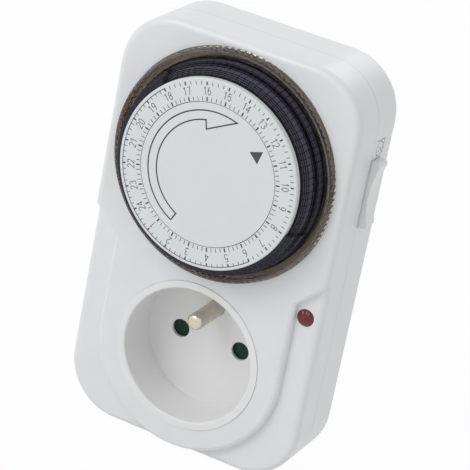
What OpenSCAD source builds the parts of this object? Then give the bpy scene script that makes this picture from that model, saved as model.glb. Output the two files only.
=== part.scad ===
// Plug-in 24 hour mechanical timer switch with an earthed socket on the front.
// X is to the right, Y runs from the front towards the wall and Z is up. The origin is
// the middle of the plug's flat end, halfway between its two pins. Millimetres.

/* [Housing] */
// Width of the housing
body_w = 72; // [71:0.5:80]
// Height of the housing
body_h = 121; // [120:1:130]
// Depth of the housing without its plug
body_d = 26; // [25.5:0.5:30]
// Corner radius of the outline, seen from the front
body_corner_r = 16; // [14:0.5:18]
// Radius of the front edge
front_edge_r = 2; // [1:0.25:2.25]
// Radius of the rear edge
rear_edge_r = 3; // [2.5:0.25:4]
// Wall thickness
wall = 2; // [1.7:0.1:2.2]
// Depth of the joint between the front and rear housings
parting_depth = 12.2; // [12:0.1:12.6]
// Height of the socket's axis above the bottom edge
socket_height = 28.9; // [28.5:0.1:30]
// How far the two lower corners lie behind the front
wing_drop = 2.2; // [1.8:0.1:2.4]
// Radius of the raised tongue round the socket
tongue_r = 28.3; // [27.8:0.1:28.5]
// Rounding of the tongue's edge
tongue_edge_r = 1.6; // [0.8:0.1:1.7]
// Height above the socket's axis where the tongue starts to widen
tongue_top = 26; // [24:0.5:28]

/* [Socket] */
// Distance between the two contacts
pin_spacing = 19; // [19:0.1:19.2]
// Radius of a plug pin
pin_r = 2.4; // [2:0.05:2.5]
// Length of a plug pin
pin_length = 19; // [17:0.5:20]
// Height of the earth pin above the contacts
earth_offset = 10; // [10:0.1:10.4]
// Length of the earth pin in the socket
earth_length = 14; // [12:0.5:14]
// Radius of the socket's well
well_r = 19.5; // [19.2:0.1:19.8]
// Depth of the socket's well
well_depth = 14.1; // [13.8:0.1:14.5]
// Width of the rim round the well
rim_width = 2.2; // [1.8:0.1:2.3]
// Height of the rim over the front
rim_height = 0.3; // [0.1:0.05:0.6]
// Wall thickness of the well
well_wall = 1.5; // [1.2:0.1:1.7]
// Thickness of the well's floor
well_floor = 1; // [0.9:0.1:2]

/* [Plug] */
// Radius of the round plug body
boss_r = 18.6; // [18.4:0.1:19]
// Length of the plug body
boss_length = 16.5; // [16.2:0.1:18]
// Thickness of the plug's end
boss_end = 2.5; // [2:0.1:2.8]
// Width of the guide grooves at the plug's sides
guide_w = 5.4; // [4:0.2:6]
// Depth of the guide grooves
guide_depth = 1.2; // [0.8:0.1:1.4]

/* [Dial] */
// Height of the dial's axis above the socket's axis
dial_height = 57.2; // [57:0.1:57.6]
// How far the dial's face stands in front of the housing
dial_proud = 9.9; // [9.5:0.1:10.5]
// Radius of the white number ring
number_ring_r = 26.3; // [26:0.1:26.5]
// Radius of the fixed disc in the middle
centre_disc_r = 19.8; // [15:0.1:20.4]
// Radius of the smoky grip ring
grip_ring_r = 32.5; // [32.1:0.1:32.6]
// Height of the grip ring
grip_ring_h = 2.5; // [2:0.1:2.8]
// Number of grip ribs
grip_ribs = 108; // [60:1:120]
// Depth of the grip ribs
grip_rib_depth = 0.2; // [0.1:0.05:0.4]
// Angle of the hour 16 from the dial's right, counted anticlockwise
hour_16_angle = 101.2; // [100:0.2:102]

/* [Tappets] */
// Number of tappets for one hour
tappets_per_hour = 4; // [4:1:4]
// Travel of a tappet when it is pushed down
tappet_travel = 2; // [1.6:0.1:2.1]
// Largest radius of the tappets
tappet_r = 29.2; // [29:0.05:29.4]
// Thickness of a tappet's stem
stem_w = 0.9; // [0.7:0.05:1]
// Gap between neighbouring tappets, in degrees
tappet_gap_angle = 0.35; // [0.15:0.01:0.5]

/* [Gears] */
// Module of the dial gear and its pinion
dial_module = 0.8; // [0.79:0.01:0.8]
// Teeth of the dial gear
dial_teeth = 60; // [58:2:60]
// Module of the finer gears
fine_module = 0.5; // [0.48:0.01:0.52]
// Teeth of the slow wheel
slow_teeth = 50; // [46:2:52]
// Teeth of the middle wheel
middle_teeth = 40; // [36:2:42]
// Teeth of every pinion
pinion_teeth = 10; // [10:1:11]
// Backlash of each mesh
backlash = 0.16; // [0.12:0.01:0.2]

/* [Motor] */
// Radius of the motor's can
motor_r = 16.5; // [14:0.5:17]
// Length of the motor's can
motor_length = 9; // [8:0.2:9.4]

/* [Override] */
// Length of the override rocker
rocker_length = 19; // [17:0.5:19.5]
// Width of the override rocker
rocker_w = 5.2; // [5:0.1:7]
// How far the rocker's ends stand out of the side
rocker_proud = 2.5; // [1.8:0.1:2.8]
// Rest tilt of the rocker, in degrees
rocker_tilt = 0.5; // [0.25:0.25:2]
// Height of the rocker's pivot above the socket's axis
rocker_height = 58; // [57:0.5:60]

/* [Lamp] */
// Radius of the pilot lamp's lens
lamp_r = 2.4; // [2:0.1:2.6]
// Distance of the lamp from the middle
lamp_x = 31; // [30.6:0.1:31.2]
// Height of the lamp above the socket's axis
lamp_height = 22.8; // [20:0.2:23]

/* [Fits] */
// Radial clearance of a running fit
run_gap = 0.05; // [0.03:0.01:0.08]
// Clearance between pieces that are only placed side by side
seat_gap = 0.1; // [0.05:0.01:0.15]
// Clearance between pieces that pass each other
pass_gap = 0.3; // [0.2:0.05:0.4]

/* [Hidden] */
$fn = 64;

// Colours
shell_white = [0.9, 0.91, 0.91];
insert_white = [0.88, 0.89, 0.87];
dark_plastic = [0.12, 0.12, 0.15];
dial_white = [0.93, 0.94, 0.94];
smoke = [0.35, 0.28, 0.24, 0.6];
nickel = [0.76, 0.73, 0.68];
brass = [0.8, 0.65, 0.32];
steel = [0.68, 0.69, 0.71];
shutter_green = [0.12, 0.3, 0.26];
lens_red = [0.55, 0.08, 0.12];
grey_plastic = [0.55, 0.56, 0.58];
gear_white = [0.94, 0.93, 0.88];
wire_brown = [0.4, 0.22, 0.12];
wire_blue = [0.15, 0.3, 0.65];
glass_orange = [0.95, 0.6, 0.35];

// Housing. Depths are counted from the front of the housing.
face_depth = body_d + boss_length;
body_bottom = -socket_height;
body_top = body_h - socket_height;
body_mid = (body_top + body_bottom) / 2;
inner_half = body_w / 2 - wall;
back_inside = body_d - wall;
edge_crease = 0.05;
lip_h = 1.2;
lip_t = wall / 2 - seat_gap / 2;

// Housing screws
screw_r = 1.4;
screw_head_r = 2.7;
screw_head_h = 1.8;
screw_wall = 1.6;
screw_x = body_w / 2 - 12;
screw_low = body_bottom + 8.9;
screw_high = body_top - 7.9;
screw_spots = [for (z = [screw_low, screw_high], x = [-screw_x, screw_x]) [x, z]];
screw_seat = body_d - 6;
screw_bite = 7;

// Socket well, shutter and contact carrier, one behind the other
floor_back = well_depth + well_floor;
shutter_t = 1.5;
hub_rise = 0.1;
shutter_depth = floor_back + hub_rise + seat_gap;
shutter_back = shutter_depth + shutter_t;
carrier_depth = shutter_back + pass_gap;
carrier_t = 2.3;
carrier_back = carrier_depth + carrier_t;
well_outer_r = well_r + well_wall;
rim_r = well_r + rim_width;
flange_r = rim_r + 1.9;
flange_t = 1.5;
contact_x = pin_spacing / 2;
contact_wall = 0.85;
contact_r = pin_r + run_gap;
contact_outer_r = contact_r + contact_wall;
contact_back = well_depth + pin_length + 1.8;
contact_end = 0.8;
floor_hole_r = pin_r + 0.3;
hub_r = 1.5;
paddle_r = floor_hole_r + 1.1;
shutter_arm = contact_x;
arm_w = 3.6;
hub_plate_r = 4.2;
hub_plate_t = 0.5;
spring_strand = 0.2;
shutter_spring_r = 2.3;
shutter_spring_depth = shutter_depth + hub_plate_t + spring_strand + 0.02;

// Plug
boss_wall = 2;
boss_inner_r = boss_r - boss_wall;
end_inside = face_depth - boss_end;
pin_root_r = pin_r + 0.3;
collar_r = 3.6;
collar_t = 1.8;
tail_depth = contact_back + contact_end + 0.6;
wire_inset = 1.65;
wire_depth = back_inside - wire_inset;
earth_tail = carrier_back + 1.4;
strap_t = 0.8;
strap_w = 5.2;
rivet_r = 1.5;
sleeve_depth = earth_length + 1;
sleeve_wall = 0.9;
clip_w = 6;
clip_t = 0.8;
clip_slot = clip_w + 2 * pass_gap;
clip_bend = face_depth - 7;

// Dial, counted from the dial's axis
post_r = 3;
hub_outer_r = 5;
ring_t = 0.6;
ring_back = -dial_proud + ring_t;
ring_edge = 0.25;
skirt_t = 0.8;
skirt_end = -dial_proud + 1.8;
web_depth = -dial_proud + 1.2 + pass_gap;
web_t = 1.4;
rim_inner_r = number_ring_r - 1.6;
rim_outer_r = number_ring_r + 0.15;
disc_gap = 0.2;
flange_rim_r = tappet_r + 1;
grip_bore_r = tappet_r + 0.4;
grip_crest_out = grip_ring_r - 0.4;
grip_crest_in = grip_ring_r - 0.8;
grip_low = 0.6;
grip_wall = 0.8;
flange_depth = 1.2;
pocket_r = grip_ring_r + pass_gap;
pocket_depth = flange_depth + pass_gap;
collar_depth = pocket_depth + 1.8;
opening_r = 29.8;
collar_outer_r = opening_r + 5;
pinion_add = 0.9;
wheel_add = 0.8;
tooth_root = 1.25;
centre_slack = 0.04;
dial_gear_depth = 4;
dial_gear_t = 2.5;
dial_pitch_r = dial_module * dial_teeth / 2;

// Tappets
tappet_count = 24 * tappets_per_hour;
tappet_pitch = 360 / tappet_count;
tappets_per_node = 2 * tappets_per_hour;
stem_inner_r = rim_outer_r + 0.45;
stem_outer_r = tappet_r - 0.8;
stem_clear = 0.12;
stem_out = 0.2;
head_top = -dial_proud + 0.4;
head_steps = 4;
head_step_h = 0.45;
head_bottom = -tappet_travel - 0.4;
first_on_hour = 8;
last_on_hour = 18;

// Gear train. Each angle is that of the line from one axis to the next one.
slow_line = 235;
middle_line = 100;
motor_line = 70;
dial_axis = [0, dial_height];
slow_axis = dial_axis + polar((dial_teeth + pinion_teeth) * dial_module / 2 + centre_slack, slow_line);
middle_axis = slow_axis + polar((slow_teeth + pinion_teeth) * fine_module / 2 + centre_slack, middle_line);
motor_axis = middle_axis + polar((middle_teeth + pinion_teeth) * fine_module / 2 + centre_slack, motor_line);
dial_phase = slow_line;
slow_pinion_phase = mesh_phase(dial_teeth, pinion_teeth, dial_phase, slow_line);
slow_phase = middle_line;
middle_pinion_phase = mesh_phase(slow_teeth, pinion_teeth, slow_phase, middle_line);
middle_phase = motor_line;
motor_phase = mesh_phase(middle_teeth, pinion_teeth, middle_phase, motor_line);
slow_pinion_depth = dial_gear_depth - 0.1;
slow_pinion_back = dial_gear_depth + dial_gear_t + 0.2;
slow_wheel_depth = slow_pinion_back + 0.5;
wheel_t = 1;
middle_pinion_depth = slow_wheel_depth - 0.2;
middle_wheel_depth = slow_wheel_depth + wheel_t + 0.8;
motor_pinion_depth = middle_wheel_depth - 0.2;
axle_r = 1;

// Mechanism plate and what it carries
plate_depth = middle_wheel_depth + wheel_t + 1.6;
plate_t = 1.2;
plate_back = plate_depth + plate_t;
plate_low = slow_axis[1] - 5;
plate_high = screw_high - screw_head_r - screw_wall - 0.5;
plate_screw_r = 1.2;
plate_screw_head_r = 2.1;
plate_screw_head_h = 1.4;
post_wall = 1.2;
plate_post_r = plate_screw_r + post_wall;
plate_spot_x = inner_half - 3.5;
plate_spots = [[-plate_spot_x, 40], [plate_spot_x, 40], [-plate_spot_x, 76], [plate_spot_x, 76]];
motor_depth = plate_back;
motor_cover_t = 0.8;
motor_ear = 2.6;
motor_ear_angles = [60, 240];
motor_shaft_r = 1;
motor_shaft_hole = pinion_teeth * fine_module / 2 + pinion_add * fine_module + pass_gap;

// Follower lever and switch
nose_angle = 36.5;
nose_radius = (stem_inner_r + stem_outer_r) / 2;
nose_spot = dial_axis + polar(nose_radius, nose_angle);
nose_w = 1.5;
stem_low = flange_depth + stem_out + tappet_travel;
nose_depth = stem_low + 0.1;
lever_w = 3;
lever_t = 1.6;
lever_arm = 14;
lever_pin_r = 1;
lever_pivot = [nose_spot[0], plate_depth - 2.6, nose_spot[1] - lever_arm];
lever_depth = lever_pivot[1] - 1;
ear_t = 1.2;
ear_gap = 6.6;
switch_w = 6.4;
switch_h = 20;
switch_d = 9.5;
switch_wall = 0.8;
switch_depth = plate_depth - 0.4;
switch_low = lever_pivot[2] - 4.4;
plunger_r = 1.1;
plunger_height = lever_pivot[2] + 8;
plunger_tip = lever_depth + lever_t + 0.1;
plunger_flange_r = 1.9;
plunger_travel = 1.1;
switch_mid = nose_spot[0];

// Override rocker, in its own frame: the pivot is the origin and X points out
rocker_pivot_x = body_w / 2 - 4;
rocker_pin_r = 1.2;
rocker_front = parting_depth + pass_gap;
rocker_back = rocker_front + rocker_w;
rocker_ear_t = 1.5;
rocker_ear_r = 3;
rocker_face = body_w / 2 - rocker_pivot_x;
rocker_window = rocker_length + 0.6;

function polar(r, a) = [r * cos(a), r * sin(a)];

// Angle of a tooth on the second gear, when a tooth of the first stands at first_angle
// and the line between the axes at line_angle
function mesh_phase(n1, n2, first_angle, line_angle) =
    line_angle + 180 + 180 / n2 - (first_angle - line_angle) * n1 / n2;

// Half the angle of an involute tooth at radius r
function involute(a) = tan(a) * 180 / PI - a;
function tooth_half(n, m, r) =
    let (base_r = n * m / 2 * cos(20), at_pitch = 90 / n - backlash / (n * m) * 180 / PI / 2)
    at_pitch + involute(20) - (r <= base_r ? 0 : involute(acos(base_r / r)));
function tooth_radii(n, m, add) =
    let (root = n * m / 2 - tooth_root * m, tip = n * m / 2 + add * m,
         start = max(root + 0.02, n * m / 2 * cos(20)))
    concat([root], [for (i = [0:3]) start + (tip - start) * i / 3]);
function gear_points(n, m, add, phase) = [
    for (k = [0:n - 1]) let (radii = tooth_radii(n, m, add), last = len(radii) - 1)
        for (side = [-1, 1]) for (i = [0:last])
            let (r = radii[side < 0 ? i : last - i], a = phase + k * 360 / n + side * tooth_half(n, m, r))
            polar(r, a)
];

// Placing: every piece is drawn from the front of the housing and moved to the plug's end
module from_front() {
    translate([0, -face_depth, 0]) children();
}

// Draws a flat shape, X to the right and Y up, as a plate between two depths
module plate(y0, y1) {
    translate([0, y1, 0]) rotate([90, 0, 0]) linear_extrude(y1 - y0) children();
}

module rod(r, y0, y1) {
    translate([0, y1, 0]) rotate([90, 0, 0]) cylinder(r = r, h = y1 - y0);
}

module tube(r, bore, y0, y1) {
    difference() {
        rod(r, y0, y1);
        rod(bore, y0 - 1, y1 + 1);
    }
}

// Turns a profile of radius and depth about the Y axis
module turned(angle = 360) {
    rotate([-90, 0, 0]) rotate_extrude(angle = angle) children();
}

module at_spot(p) {
    translate([p[0], 0, p[1]]) children();
}

module on_dial(angle = 0) {
    translate([0, 0, dial_height]) rotate([0, -angle, 0]) children();
}

// A bar with a rectangular section between two corners
module bar(low, high) {
    translate(low) cube(high - low);
}

// Round wire through a list of points
module wire(points, r) {
    for (i = [0:len(points) - 2])
        hull() {
            translate(points[i]) sphere(r, $fn = 8);
            translate(points[i + 1]) sphere(r, $fn = 8);
        }
}

// Section of a slab from depth y0 to y1, rounded at both edges
module slab_section(half, y0, y1, f0, f1) {
    translate([-half, y0 + f0]) square([2 * half, y1 - y0 - f0 - f1]);
    translate([-half + f0, y0]) square([2 * (half - f0), y1 - y0 - f1]);
    translate([-half + f1, y0 + f0]) square([2 * (half - f1), y1 - y0 - f0]);
    for (s = [-1, 1]) {
        translate([s * (half - f0), y0 + f0]) circle(f0);
        translate([s * (half - f1), y1 - f1]) circle(f1);
    }
}

// Slab with round corners, seen from the front, and rounded front and rear edges
module slab(w, h, r, y0, y1, f0, f1) {
    translate([0, 0, body_mid]) {
        for (sx = [-1, 1], sz = [-1, 1])
            translate([sx * (w / 2 - r), 0, sz * (h / 2 - r)])
                turned() intersection() {
                    slab_section(r, y0, y1, f0, f1);
                    translate([0, y0]) square([r, y1 - y0]);
                }
        translate([0, 0, r - h / 2]) linear_extrude(h - 2 * r) slab_section(w / 2, y0, y1, f0, f1);
        translate([w / 2 - r, 0, 0]) rotate([0, -90, 0])
            linear_extrude(w - 2 * r) slab_section(h / 2, y0, y1, f0, f1);
    }
}

// The same without rounded edges
module plain_slab(inset, y0, y1) {
    w = body_w - 2 * inset;
    h = body_h - 2 * inset;
    r = body_corner_r - inset;
    translate([0, 0, body_mid]) {
        for (sx = [-1, 1], sz = [-1, 1])
            translate([sx * (w / 2 - r), 0, sz * (h / 2 - r)]) rod(r, y0, y1);
        bar([-w / 2, y0, r - h / 2], [w / 2, y1, h / 2 - r]);
        bar([r - w / 2, y0, -h / 2], [w / 2 - r, y1, h / 2]);
    }
}

// Outline of the raised front: a tongue round the socket that widens above it
module raised_outline(inset) {
    half = tongue_r - inset;
    turn = tongue_top + inset * tan(22.5);
    reach = body_w / 2 + 5;
    circle(half);
    polygon([
        [-half, 0], [half, 0], [half, turn], [reach, turn + reach - half],
        [reach, body_top + 5], [-reach, body_top + 5], [-reach, turn + reach - half], [-half, turn]
    ]);
}

// The block behind it. Its rounding meets the flat front in a fine crease.
module raised_block(back) {
    r = tongue_edge_r;
    edge = tongue_r - r;
    axis_depth = r - edge_crease;
    turn = tongue_top + r * tan(22.5);
    plate(axis_depth, back) raised_outline(0);
    plate(-edge_crease, back) raised_outline(r);
    turned() intersection() {
        translate([edge, axis_depth]) circle(r);
        translate([0, -edge_crease]) square([tongue_r, 2 * r]);
    }
    for (s = [-1, 1]) {
        translate([s * edge, axis_depth, 0]) cylinder(r = r, h = turn);
        translate([s * edge, axis_depth, turn]) rotate([0, s * 45, 0]) cylinder(r = r, h = body_w / 2);
    }
}

module housing_solid() {
    slab(body_w, body_h, body_corner_r, wing_drop, body_d, front_edge_r, rear_edge_r);
    intersection() {
        slab(body_w, body_h, body_corner_r, 0, body_d, front_edge_r, rear_edge_r);
        raised_block(parting_depth);
    }
}

module housing_cavity() {
    w = body_w - 2 * wall;
    h = body_h - 2 * wall;
    r = body_corner_r - wall;
    inner_edge = rear_edge_r - wall;
    slab(w, h, r, wing_drop + wall, back_inside, 0.2, inner_edge);
    intersection() {
        plain_slab(wall, wall, parting_depth);
        plate(wall, parting_depth) raised_outline(wall);
    }
}

// Front shell with the pocket for the dial and the hole for the socket
module front_housing() color(shell_white) from_front() difference() {
    union() {
        difference() {
            intersection() {
                housing_solid();
                bar([-body_w, -1, body_bottom - 1], [body_w, parting_depth, body_top + 1]);
            }
            housing_cavity();
        }
        front_lip();
        intersection() {
            on_dial() rod(collar_outer_r, wall / 2, collar_depth);
            plain_slab(wall / 2, 0, parting_depth);
        }
        for (p = screw_spots) at_spot(p)
            rod(screw_r + screw_wall, p[1] < 0 ? wing_drop + 1 : wall / 2, parting_depth - seat_gap);
        for (p = plate_spots) at_spot(p) rod(plate_post_r, wall, plate_depth);
        translate([0, 0, rocker_height])
            bar([rocker_pivot_x - rocker_ear_r, parting_depth - lip_h - rocker_ear_t, -rocker_ear_r],
                [inner_half + wall / 2, parting_depth - lip_h, rocker_ear_r]);
        at_spot([lamp_x, lamp_height]) rod(lamp_r + 0.5, wing_drop + wall - 0.2, wing_drop + wall + 1);
    }
    on_dial() rod(pocket_r, -1, pocket_depth);
    on_dial() rod(opening_r, -1, collar_depth + 1);
    rod(rim_r + seat_gap / 2, -1, wall + 4);
    rod(flange_r + seat_gap, wall, wall + 4);
    screw_holes();
    for (p = plate_spots) at_spot(p) rod(plate_screw_r + run_gap, plate_depth - 6, plate_depth + 1);
    at_spot([rocker_pivot_x, rocker_height]) rod(rocker_pin_r + run_gap, wall + 1, parting_depth);
    at_spot([lamp_x, lamp_height]) rod(lamp_r + seat_gap, -1, wing_drop + wall + 2);
    rocker_lip_gap();
}

// Lip of the front shell that enters the rear one
module front_lip() {
    difference() {
        plain_slab(wall - lip_t, parting_depth - 2, parting_depth + lip_h);
        plain_slab(wall, parting_depth - 3, parting_depth + lip_h + 1);
    }
}

// Stretch of the lip that is left out at the rocker
module rocker_lip_gap() {
    half = rocker_window / 2 + 1;
    bar([inner_half - 1, parting_depth, rocker_height - half],
        [body_w / 2 + 1, parting_depth + lip_h + 1, rocker_height + half]);
}

module screw_holes() {
    for (p = screw_spots) at_spot(p)
        rod(screw_r + run_gap, parting_depth - screw_bite - 0.5, parting_depth);
}

// Rear shell with the round plug body
module rear_housing() color(shell_white) from_front() difference() {
    union() {
        difference() {
            intersection() {
                slab(body_w, body_h, body_corner_r, 0, body_d, front_edge_r, rear_edge_r);
                bar([-body_w, parting_depth, body_bottom - 1], [body_w, body_d, body_top + 1]);
            }
            housing_cavity();
            plain_slab(wall / 2 - seat_gap / 2, parting_depth - 1, parting_depth + lip_h + seat_gap);
        }
        rod(boss_r, back_inside, face_depth);
        rod(well_outer_r, carrier_back, back_inside + 0.5);
        for (p = screw_spots) at_spot(p) rod(screw_head_r + screw_wall, parting_depth, back_inside + 0.5);
        bar([rocker_pivot_x - rocker_ear_r, rocker_back + pass_gap, rocker_height - rocker_ear_r],
            [inner_half, back_inside, rocker_height + rocker_ear_r]);
    }
    rod(boss_inner_r, carrier_back - 1, face_depth + 1);
    for (s = [-1, 1]) {
        wire_notch(s);
        translate([s * boss_r, 0, 0])
            bar([-guide_depth, body_d, -guide_w / 2], [guide_depth, face_depth + 1, guide_w / 2]);
        translate([0, 0, s * boss_r])
            bar([-clip_slot / 2, clip_bend - clip_t - 2, -boss_wall - 1],
                [clip_slot / 2, face_depth + 1, boss_wall + 1]);
    }
    for (p = screw_spots) at_spot(p) {
        rod(screw_r + pass_gap, parting_depth - 1, body_d + 1);
        rod(screw_head_r + seat_gap, screw_seat, body_d + 1);
    }
    bar([inner_half - 1, parting_depth - 1, rocker_height - rocker_window / 2],
        [body_w / 2 + 1, rocker_back + pass_gap, rocker_height + rocker_window / 2]);
    at_spot([rocker_pivot_x, rocker_height])
        rod(rocker_pin_r + run_gap, rocker_back, rocker_back + pass_gap + rocker_ear_t);
}

// Way for the wires out of the plug body into the housing
module wire_notch(side) {
    mirror([side < 0 ? 1 : 0, 0, 0])
        bar([6, carrier_back - 1, 0], [16, back_inside, well_outer_r + 1]);
}

module housing_screws() color(steel) from_front()
    for (p = screw_spots) at_spot(p) difference() {
        union() {
            rod(screw_r, parting_depth - screw_bite, screw_seat + 0.5);
            rod(screw_head_r, screw_seat, screw_seat + screw_head_h);
        }
        for (turn = [0, 90]) translate([0, screw_seat + screw_head_h, 0]) rotate([0, turn, 0])
            cube([2 * screw_head_r * 0.6, 1.6, 0.6], center = true);
    }

// Round insert that forms the socket's well, with its rim and floor
module socket_well() color(insert_white) from_front() {
    difference() {
        union() {
            turned() well_profile();
            rod(hub_r + 0.9, well_depth + 0.5, floor_back + hub_rise);
            rod(hub_r, floor_back - 0.5, carrier_depth - 0.1);
        }
        for (s = [-1, 1]) translate([s * contact_x, 0, 0])
            rod(floor_hole_r, well_depth - 1, floor_back + 1);
        at_spot([0, earth_offset]) rod(pin_r + seat_gap / 2, well_depth - 1, floor_back + 1);
    }
}

module well_profile() {
    edge = 0.6;
    difference() {
        union() {
            translate([well_r, -rim_height]) square([rim_width, wall + rim_height]);
            translate([well_r, wall]) square([flange_r - well_r, flange_t]);
            translate([well_r, 0]) square([well_wall, carrier_depth]);
            translate([0, well_depth]) square([well_r + 0.5, well_floor]);
        }
        translate([well_r, -rim_height]) square([edge, edge]);
    }
    translate([well_r + edge, edge - rim_height]) intersection() {
        circle(edge);
        translate([-edge, -edge]) square(edge);
    }
}

// Child guard that covers both contact holes until it turns aside
module shutter() color(shutter_green) from_front() difference() {
    union() {
        for (s = [-1, 1]) translate([s * shutter_arm, 0, 0]) rod(paddle_r, shutter_depth, shutter_back);
        difference() {
            bar([-shutter_arm, shutter_depth, -arm_w / 2], [shutter_arm, shutter_back, arm_w / 2]);
            rod(hub_plate_r, shutter_depth + hub_plate_t, shutter_back + 1);
        }
        rod(hub_plate_r, shutter_depth, shutter_depth + hub_plate_t);
    }
    rod(hub_r + run_gap, shutter_depth - 1, shutter_back + 1);
    translate([hub_plate_r - 0.5, shutter_spring_depth, 0]) rotate([0, 90, 0])
        cylinder(r = spring_strand + 0.08, h = 2);
}

// Torsion spring round the shutter's pivot, with one straight leg along an arm
module shutter_spring() color(steel) from_front() {
    translate([0, shutter_spring_depth, 0]) {
        coil(shutter_spring_r, spring_strand, 2 * spring_strand + 0.06, 1.5, 27);
        translate([shutter_spring_r, 0, 0]) rotate([0, 90, 0])
            cylinder(r = 0.95 * spring_strand, h = hub_plate_r + 1.2 - shutter_spring_r, $fn = 6);
    }
}

// Helix of a round strand about the Y axis: radius, strand radius, rise a turn, turns and steps
module coil(r, strand, rise, turns, steps) {
    sides = 6;
    last_ring = steps * sides;
    ring_points = [
        for (i = [0:steps]) let (a = 360 * turns * i / steps, h = rise * turns * i / steps)
            for (k = [0:sides - 1]) let (b = 360 * k / sides, out = r + strand * cos(b))
                [out * cos(a), h + strand * sin(b), out * sin(a)]
    ];
    side_faces = [
        for (i = [0:steps - 1], k = [0:sides - 1])
            let (n = (k + 1) % sides, near = i * sides, far = near + sides)
            [near + k, far + k, far + n, near + n]
    ];
    end_faces = [[for (k = [0:sides - 1]) k], [for (k = [sides - 1:-1:0]) last_ring + k]];
    polyhedron(ring_points, concat(side_faces, end_faces));
}

// Earth pin of the socket, with a round tip, a neck in the floor and a riveted tail
module earth_pin() color(nickel) from_front() at_spot([0, earth_offset]) {
    tip = well_depth - earth_length;
    turned() {
        pin_profile(pin_r, tip, well_depth, 1.6);
        square_to(pin_r - 0.3, well_depth - 1, floor_back + 0.5);
        translate([0, floor_back]) square([pin_r + 1, carrier_depth + 0.4 - floor_back]);
        square_to(rivet_r, carrier_depth, earth_tail + strap_t + 0.4);
    }
}

// Half section of a pin whose end at y0 is rounded
module pin_profile(r, y0, y1, round_r) {
    square_to(r, y0 + round_r, y1);
    square_to(r - round_r, y0, y1);
    intersection() {
        translate([r - round_r, y0 + round_r]) circle(round_r);
        square_to(r, y0, y1);
    }
}

module square_to(r, y0, y1) {
    translate([0, y0]) square([r, y1 - y0]);
}

// Plate behind the carrier that joins the earth pin, the sleeve and both clips
module earth_strap() color(brass) from_front() difference() {
    bar([-strap_w / 2, earth_tail, 1 - boss_inner_r],
        [strap_w / 2, earth_tail + strap_t, boss_inner_r - 1]);
    at_spot([0, earth_offset]) rod(rivet_r + run_gap, earth_tail - 1, earth_tail + strap_t + 1);
}

// Two spring blades along the plug's top and bottom
module earth_clips() color(nickel) from_front()
    for (s = [-1, 1]) {
        root = earth_tail + strap_t;
        inner = boss_inner_r - 1;
        outer = boss_r - 0.4;
        half = strap_w / 2;
        mirror([0, 0, s < 0 ? 1 : 0]) {
            bar([-half, root, inner - 2.4], [half, root + clip_t, inner]);
            bar([-half, root, inner - clip_t], [half, clip_bend, inner]);
            bar([-half, clip_bend - clip_t, inner - clip_t], [half, clip_bend, outer]);
            bar([-clip_w / 2, clip_bend - clip_t, outer - clip_t], [clip_w / 2, face_depth - 1, outer]);
        }
    }

// Socket at the plug's end for the earth pin of a wall outlet
module rear_earth_sleeve() color(brass) from_front() at_spot([0, earth_offset]) {
    bore_r = pin_r + run_gap;
    mouth = face_depth - sleeve_depth;
    difference() {
        rod(bore_r + sleeve_wall, mouth - 1, face_depth - 0.3);
        rod(bore_r, mouth, face_depth + 1);
    }
    rod(rivet_r, earth_tail + strap_t + 0.4, mouth - 0.5);
}

// Insulating disc that carries the two contacts behind the shutter
module contact_carrier() color(grey_plastic) from_front() difference() {
    rod(well_outer_r - seat_gap, carrier_depth, carrier_back);
    for (s = [-1, 1]) translate([s * contact_x, 0, 0])
        rod(contact_outer_r + seat_gap / 2, carrier_depth - 1, carrier_back + 1);
    at_spot([0, earth_offset]) rod(pin_r + 1 + seat_gap, carrier_depth - 1, carrier_back + 1);
}

// Split sleeve that grips a plug pin: side is -1 for neutral and 1 for live
module contact_sleeve(side) {
    translate([side * contact_x, 0, 0]) difference() {
        union() {
            rod(contact_outer_r, carrier_depth, contact_back + contact_end);
            rod(contact_outer_r + 0.8, carrier_back, carrier_back + 0.8);
        }
        rod(contact_r, carrier_depth - 1, contact_back);
        bar([-0.3, carrier_back + 4, -6], [0.3, contact_back - 4, 6]);
    }
}

module live_contact() color(brass) from_front() contact_sleeve(1);

module neutral_contact() color(brass) from_front() contact_sleeve(-1);

// Disc that closes the plug's end and holds both pins and the earth sleeve
module plug_end() color(shell_white) from_front() difference() {
    rod(boss_inner_r - seat_gap / 2, end_inside, face_depth);
    for (s = [-1, 1]) translate([s * contact_x, 0, 0])
        rod(pin_root_r + seat_gap / 2, end_inside - 1, face_depth + 1);
    at_spot([0, earth_offset])
        rod(pin_r + run_gap + sleeve_wall + seat_gap / 2, end_inside - 1, face_depth + 1);
}

// Plug pin with a thicker root and a collar inside the plug's end: side is -1 or 1
module plug_pin(side) {
    translate([side * contact_x, 0, 0]) mirror([0, 1, 0])
        turned() {
            pin_profile(pin_r, -face_depth - pin_length, -face_depth, 1.4);
            translate([0, -face_depth]) square([pin_root_r, face_depth - tail_depth]);
            translate([0, -end_inside]) square([collar_r, collar_t]);
        }
}

module live_plug_pin() color(nickel) from_front() plug_pin(1);

module neutral_plug_pin() color(nickel) from_front() plug_pin(-1);

// Square link that joins the neutral contact to its plug pin
module neutral_link() color(brass) from_front() translate([-contact_x, 0, 0]) {
    half = 0.7 * pin_r;
    bar([-half, contact_back + contact_end, -half], [half, tail_depth, half]);
}

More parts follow.
